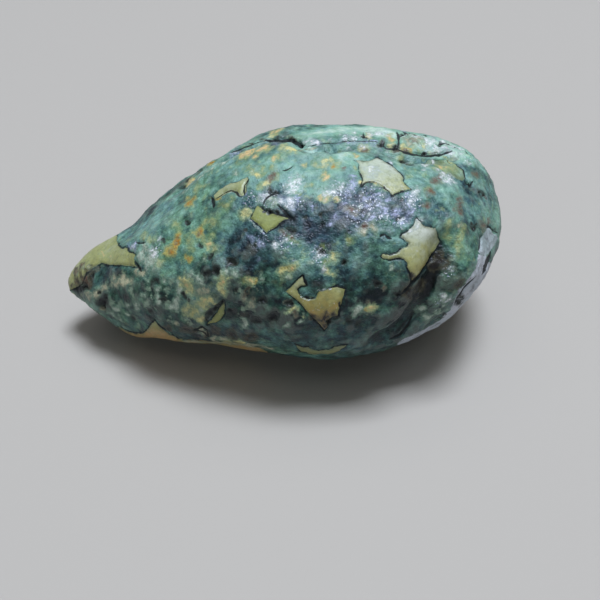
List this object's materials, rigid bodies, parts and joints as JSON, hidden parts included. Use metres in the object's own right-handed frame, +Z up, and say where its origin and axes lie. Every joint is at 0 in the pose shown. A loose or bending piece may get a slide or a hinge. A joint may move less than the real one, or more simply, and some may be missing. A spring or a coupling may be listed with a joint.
{
  "type": "moss agate pebble",
  "caption": "Teardrop-shaped moss agate pebble, a single loose stone with a cracked, lumpy, glossy skin, lying on its belly. For collections, displays and scenes.",
  "frame": {"origin": "middle of the bounding box at its base, where the stone rests on its worn flat", "axes": "+X along the stone, from its narrow tip to its blunt butt; +Y across it; +Z up"},
  "size_m": [0.042, 0.0256, 0.0205],
  "materials": {
    "moss_agate": "naturally glossy, mottled teal green with cream and yellow patches and thin dark cracks"
  },
  "bodies": {
    "root": {"agate_pebble": "moss_agate"}
  },
  "joints": []
}
